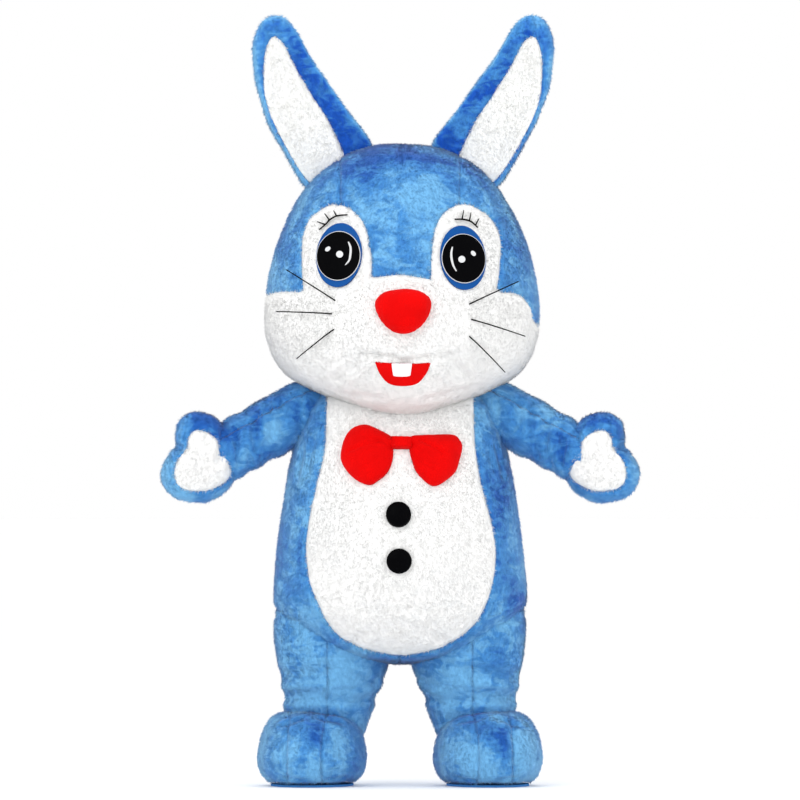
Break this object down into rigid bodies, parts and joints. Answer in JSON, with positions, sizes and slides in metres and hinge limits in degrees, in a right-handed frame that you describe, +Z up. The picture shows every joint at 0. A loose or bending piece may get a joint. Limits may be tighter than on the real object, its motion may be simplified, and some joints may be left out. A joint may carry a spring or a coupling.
{
  "type": "rabbit mascot costume",
  "caption": "Full-body rabbit suit in short blue plush with a white belly and face, upright ears, mitts, padded feet and a red bow, filled out and standing.",
  "frame": {"origin": "on the floor, in the middle of the suit's width and depth, between the soles", "axes": "+Z up from the soles to the ears, +X to the wearer's left, +Y to the back, so the rabbit faces -Y"},
  "size_m": [1.6238, 0.9994, 2.6002],
  "materials": {
    "blue_plush": "short glossy plush, nap brushed in patches",
    "white_plush": "short fluffy plush",
    "red_fleece": "smooth fleece",
    "white_felt": "felt",
    "black_plastic": "glossy moulded plastic",
    "blue_plate": "glossy plate",
    "whisker_nylon": "stiff nylon rod",
    "sole_rubber": "matt sheet",
    "zip_tape": "woven tape",
    "zip_metal": "nickel plated"
  },
  "bodies": {
    "suit": {"front_side_left": "blue_plush", "front_side_right": "blue_plush", "back_left": "blue_plush", "back_right": "blue_plush", "head_side_left": "blue_plush", "head_side_right": "blue_plush", "ear_border_left": "blue_plush", "ear_border_right": "blue_plush", "ear_back_left": "blue_plush", "ear_back_right": "blue_plush", "sleeve_top_left": "blue_plush", "sleeve_top_right": "blue_plush", "sleeve_under_left": "blue_plush", "sleeve_under_right": "blue_plush", "mitt_left": "blue_plush", "mitt_right": "blue_plush", "leg_inner_left": "blue_plush", "leg_inner_right": "blue_plush", "leg_outer_left": "blue_plush", "leg_outer_right": "blue_plush", "foot_toe_left": "blue_plush", "foot_toe_right": "blue_plush", "foot_inner_left": "blue_plush", "foot_inner_right": "blue_plush", "foot_outer_left": "blue_plush", "foot_outer_right": "blue_plush", "crown": "blue_plush", "head_back": "blue_plush", "ear_lining_left": "white_plush", "ear_lining_right": "white_plush", "palm_left": "white_plush", "palm_right": "white_plush", "belly": "white_plush", "face": "white_plush", "bow_wing_left": "red_fleece", "bow_wing_right": "red_fleece", "nose": "red_fleece", "mouth": "red_fleece", "bow_knot": "red_fleece", "tooth": "white_felt", "pupil_left": "black_plastic", "pupil_right": "black_plastic", "button_upper": "black_plastic", "button_lower": "black_plastic", "iris_left": "blue_plate", "iris_right": "blue_plate", "whisker_left_1": "whisker_nylon", "whisker_left_2": "whisker_nylon", "whisker_left_3": "whisker_nylon", "whisker_right_1": "whisker_nylon", "whisker_right_2": "whisker_nylon", "whisker_right_3": "whisker_nylon", "sole_left": "sole_rubber", "sole_right": "sole_rubber", "zip_tape_left": "zip_tape", "zip_tape_right": "zip_tape", "zip_chain": "zip_metal", "zip_slider": "zip_metal"},
    "zip_pull_tab": {"zip_pull": "zip_metal"}
  },
  "joints": [
    {"name": "zip_pull_hinge", "type": "hinge", "parent": "suit", "child": "zip_pull_tab", "pos_m": [0, 0.36267, 1.15078], "axis": [1, 0, 0], "range_deg": [0, 150]}
  ]
}
